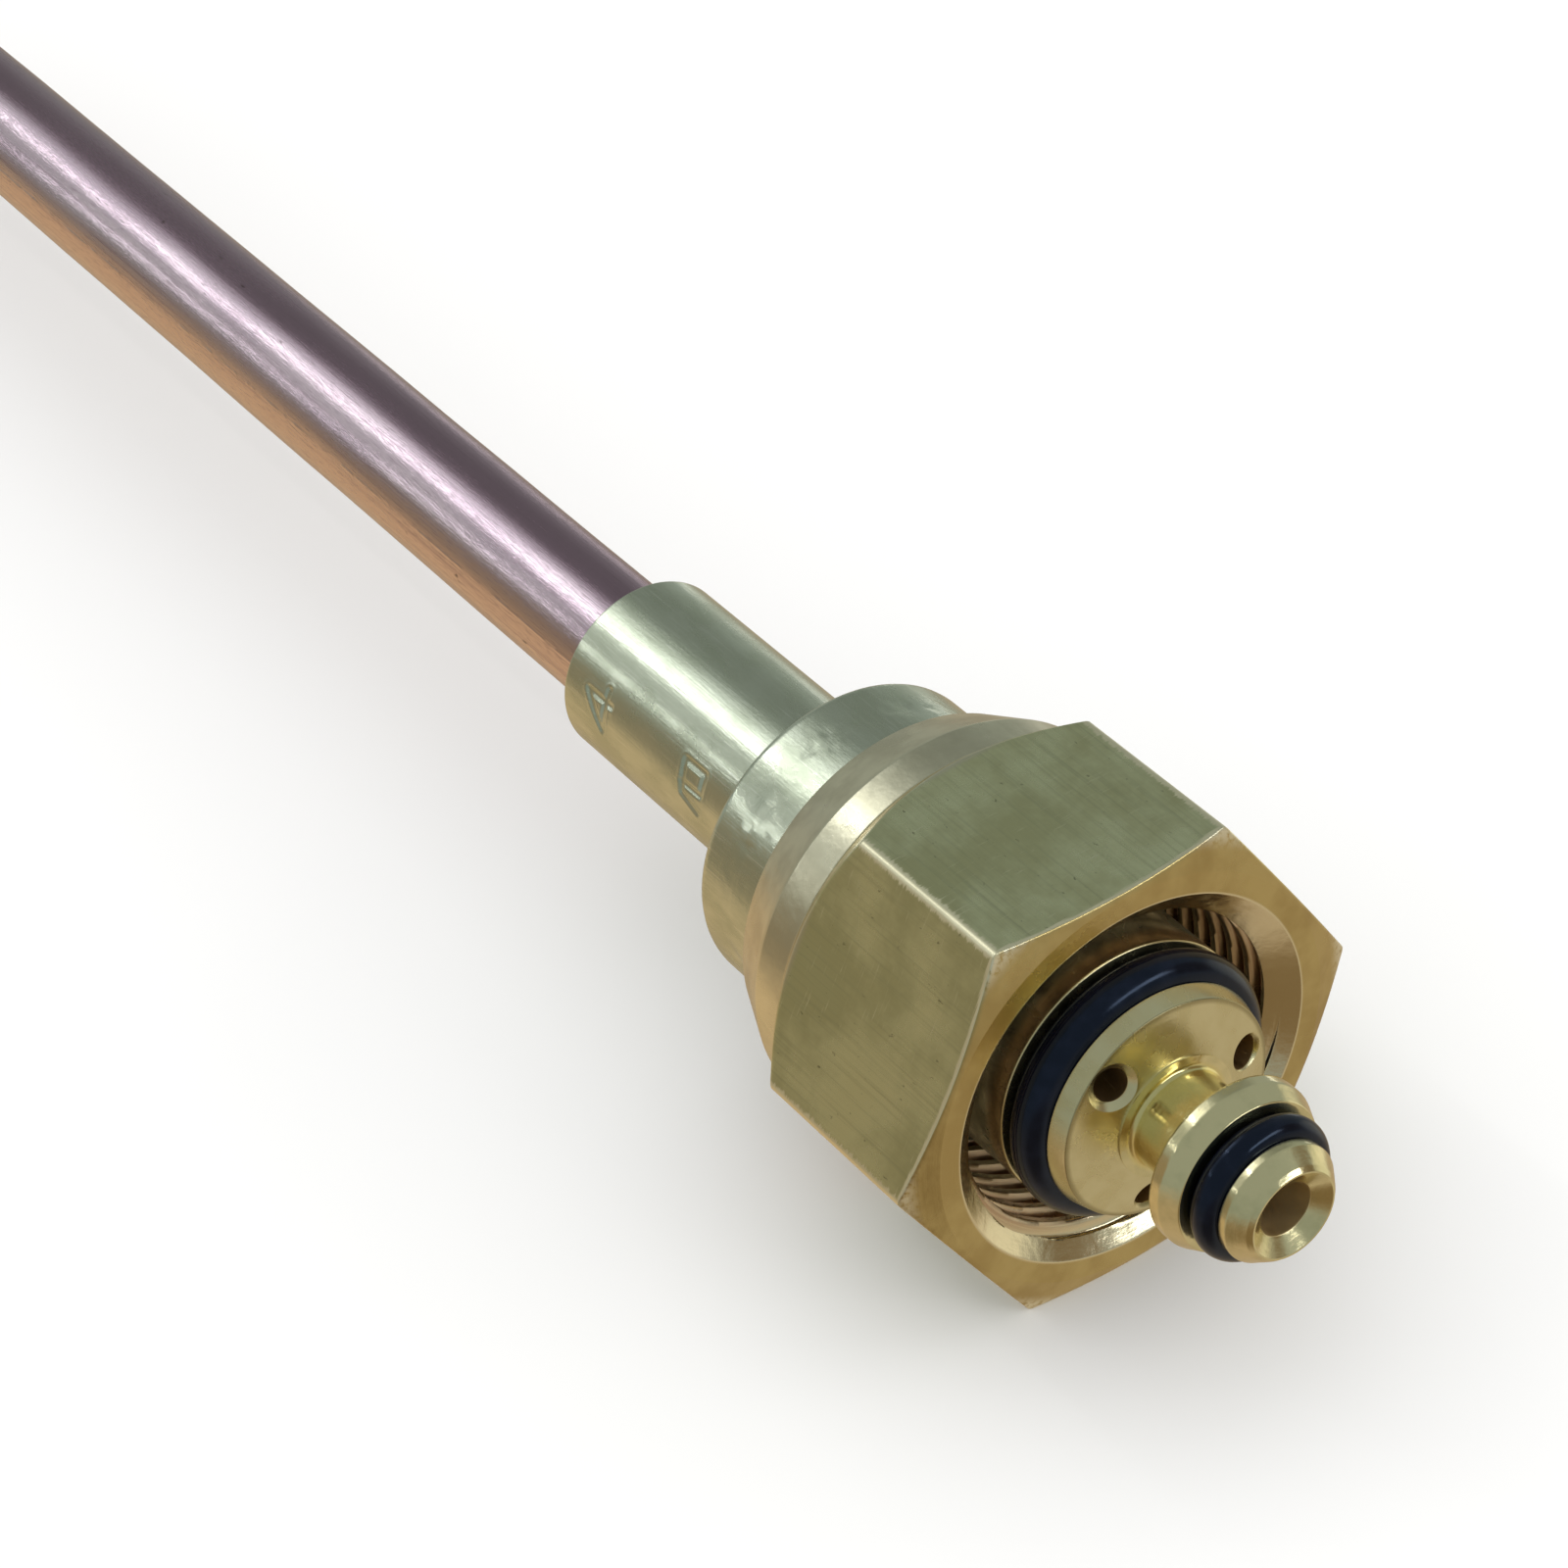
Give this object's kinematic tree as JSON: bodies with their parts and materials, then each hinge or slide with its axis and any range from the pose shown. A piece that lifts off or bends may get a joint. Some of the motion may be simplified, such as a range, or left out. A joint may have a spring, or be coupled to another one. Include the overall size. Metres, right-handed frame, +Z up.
{
  "type": "gas torch tip",
  "caption": "Torch tip with an injector head on two rubber rings, a loose captive hexagon union nut, a brass sleeve and a copper tube bent to a screwed flame nozzle.",
  "frame": {"origin": "on the tip's axis, at the plane where the union nut's thread begins, with the nut at the back of its travel", "axes": "+X along the axis out of the nut towards the torch, +Z up with the nut on one of its flats, -Y the side to which the tube's far end bends"},
  "size_m": [0.2355, 0.0766, 0.027],
  "materials": {
    "turned_brass": "turned, bright",
    "body_brass": "turned, dull with handling",
    "nut_brass": "brushed flats with worn edges",
    "seal_rubber": "smooth, slightly oily",
    "tube_copper": "drawn copper, tarnished",
    "nozzle_copper": "turned copper, heat tinted",
    "silver_solder": "fused silver solder"
  },
  "bodies": {
    "tip": {"injector_plug": "turned_brass", "oxygen_jet": "turned_brass", "injector_oring": "seal_rubber", "mixer_body": "body_brass", "mixer_oring": "seal_rubber", "retaining_collar": "body_brass", "mixture_tube": "tube_copper", "sleeve_solder": "silver_solder", "nozzle_socket": "body_brass", "nozzle_solder": "silver_solder", "flame_nozzle": "nozzle_copper"},
    "slip_ring": {"slip_washer": "turned_brass"},
    "nut": {"union_nut": "nut_brass"}
  },
  "joints": [
    {"name": "nut_float", "type": "slide", "parent": "tip", "child": "slip_ring", "axis": [1, 0, 0], "range_m": [0, 0.0012]},
    {"name": "nut_spin", "type": "hinge", "parent": "slip_ring", "child": "nut", "pos_m": [-0.009, 0, 0], "axis": [1, 0, 0], "continuous": true}
  ]
}
